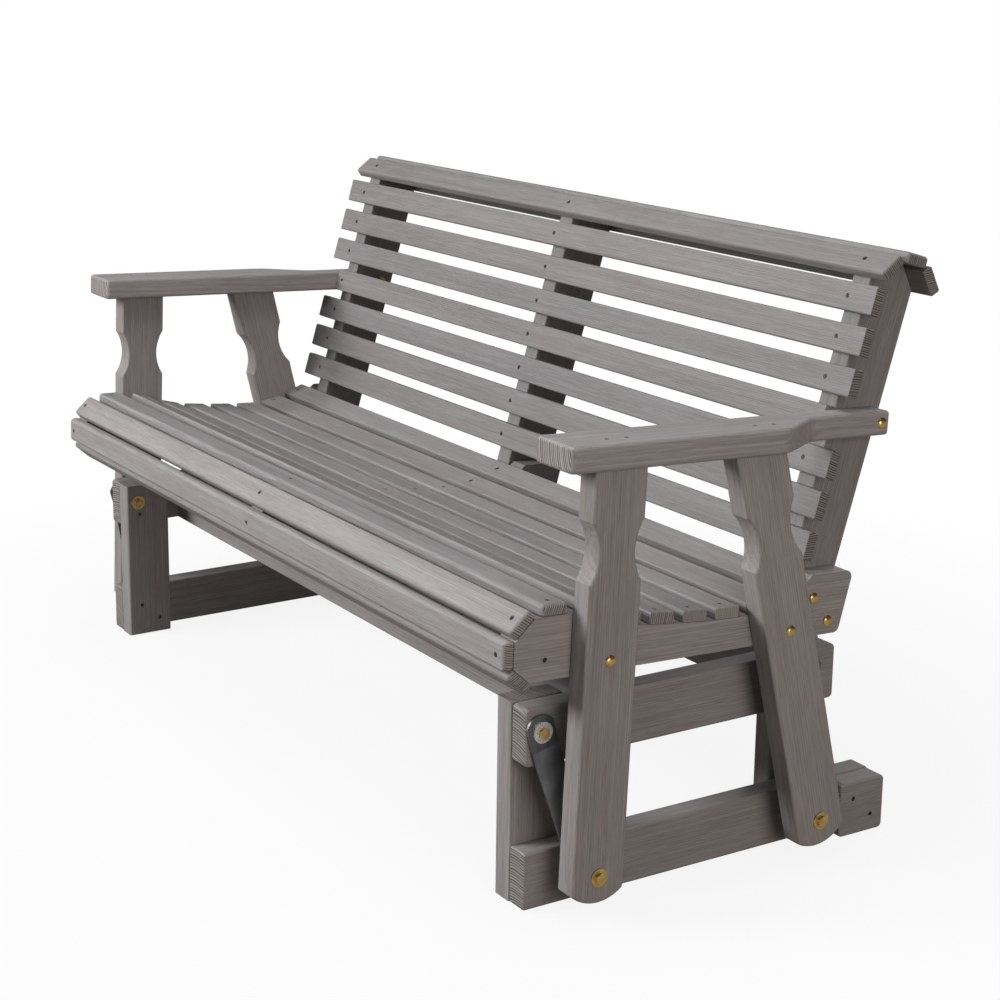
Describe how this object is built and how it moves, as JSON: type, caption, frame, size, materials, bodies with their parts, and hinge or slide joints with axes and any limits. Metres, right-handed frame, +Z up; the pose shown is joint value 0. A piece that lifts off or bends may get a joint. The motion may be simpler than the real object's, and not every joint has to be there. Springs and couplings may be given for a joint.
{
  "type": "glider bench",
  "caption": "Slatted timber glider bench with curved back and armrests, hung on swinging flat steel links from a low two-sided base.",
  "frame": {"origin": "on the floor under the middle of the whole bench", "axes": "+X along the bench to its left arm as seen by a sitter facing -Y, the front faces -Y, +Z up"},
  "size_m": [1.672, 0.7762, 0.9197],
  "materials": {
    "frame_wood": "semi-transparent grey stain on sawn pine, satin",
    "slat_wood": "semi-transparent grey stain on sawn pine, satin",
    "zinc_strap": "zinc plated flat bar",
    "zinc_washer": "bright zinc plate",
    "yellow_zinc": "yellow zinc plated steel",
    "dark_screw": "dark coated deck screw"
  },
  "bodies": {
    "base": {"right_front_leg": "frame_wood", "right_rear_leg": "frame_wood", "left_front_leg": "frame_wood", "left_rear_leg": "frame_wood", "right_upper_rail": "frame_wood", "right_foot_rail": "frame_wood", "right_stop_block": "frame_wood", "left_upper_rail": "frame_wood", "left_foot_rail": "frame_wood", "left_stop_block": "frame_wood", "front_beam": "frame_wood", "rear_beam": "frame_wood", "hanger_bolts": "yellow_zinc", "hanger_washers": "zinc_washer", "hanger_nuts": "yellow_zinc", "base_screws": "dark_screw"},
    "right_front_link": {"right_front_link": "zinc_strap"},
    "seat": {"roll_slat_low": "slat_wood", "roll_slat_front": "slat_wood", "roll_slat_high": "slat_wood", "seat_slat_1": "slat_wood", "seat_slat_2": "slat_wood", "seat_slat_3": "slat_wood", "seat_slat_4": "slat_wood", "seat_slat_5": "slat_wood", "seat_slat_6": "slat_wood", "seat_slat_7": "slat_wood", "seat_slat_8": "slat_wood", "back_slat_1": "slat_wood", "back_slat_2": "slat_wood", "back_slat_3": "slat_wood", "back_slat_4": "slat_wood", "back_slat_5": "slat_wood", "back_slat_6": "slat_wood", "back_slat_7": "slat_wood", "cap_front_board": "slat_wood", "cap_top_board": "slat_wood", "cap_rear_board": "slat_wood", "right_seat_rib": "frame_wood", "left_seat_rib": "frame_wood", "centre_seat_rib": "frame_wood", "right_back_post": "frame_wood", "left_back_post": "frame_wood", "centre_back_post": "frame_wood", "right_front_arm_post": "frame_wood", "right_rear_arm_post": "frame_wood", "left_front_arm_post": "frame_wood", "left_rear_arm_post": "frame_wood", "right_armrest": "frame_wood", "left_armrest": "frame_wood", "swing_bolts": "yellow_zinc", "swing_washers": "yellow_zinc", "swing_nuts": "yellow_zinc", "carriage_bolts": "yellow_zinc", "carriage_washers": "zinc_washer", "carriage_nuts": "yellow_zinc", "seat_screws": "dark_screw"},
    "left_front_link": {"left_front_link": "zinc_strap"},
    "right_rear_link": {"right_rear_link": "zinc_strap"},
    "left_rear_link": {"left_rear_link": "zinc_strap"}
  },
  "joints": [
    {"name": "glide", "type": "hinge", "parent": "base", "child": "right_front_link", "pos_m": [0.748, -0.2956, 0.275], "axis": [1, 0, 0], "range_deg": [-14, 14]},
    {"name": "seat_swing", "type": "hinge", "parent": "right_front_link", "child": "seat", "pos_m": [0.7828, -0.24366, 0.06846], "axis": [1, 0, 0], "range_deg": [-17, 17]},
    {"name": "left_front_swing", "type": "hinge", "parent": "base", "child": "left_front_link", "pos_m": [-0.748, -0.2956, 0.275], "axis": [1, 0, 0], "range_deg": [-14, 14]},
    {"name": "right_rear_swing", "type": "hinge", "parent": "base", "child": "right_rear_link", "pos_m": [0.748, 0.1994, 0.275], "axis": [1, 0, 0], "range_deg": [-14, 14]},
    {"name": "left_rear_swing", "type": "hinge", "parent": "base", "child": "left_rear_link", "pos_m": [-0.748, 0.1994, 0.275], "axis": [1, 0, 0], "range_deg": [-14, 14]}
  ],
  "couplings": [
    {"joint": "seat_swing", "follows": "glide", "ratio": -1.1917},
    {"joint": "left_front_swing", "follows": "glide", "ratio": 1},
    {"joint": "right_rear_swing", "follows": "glide", "ratio": 0.9744},
    {"joint": "left_rear_swing", "follows": "glide", "ratio": 0.9744}
  ]
}
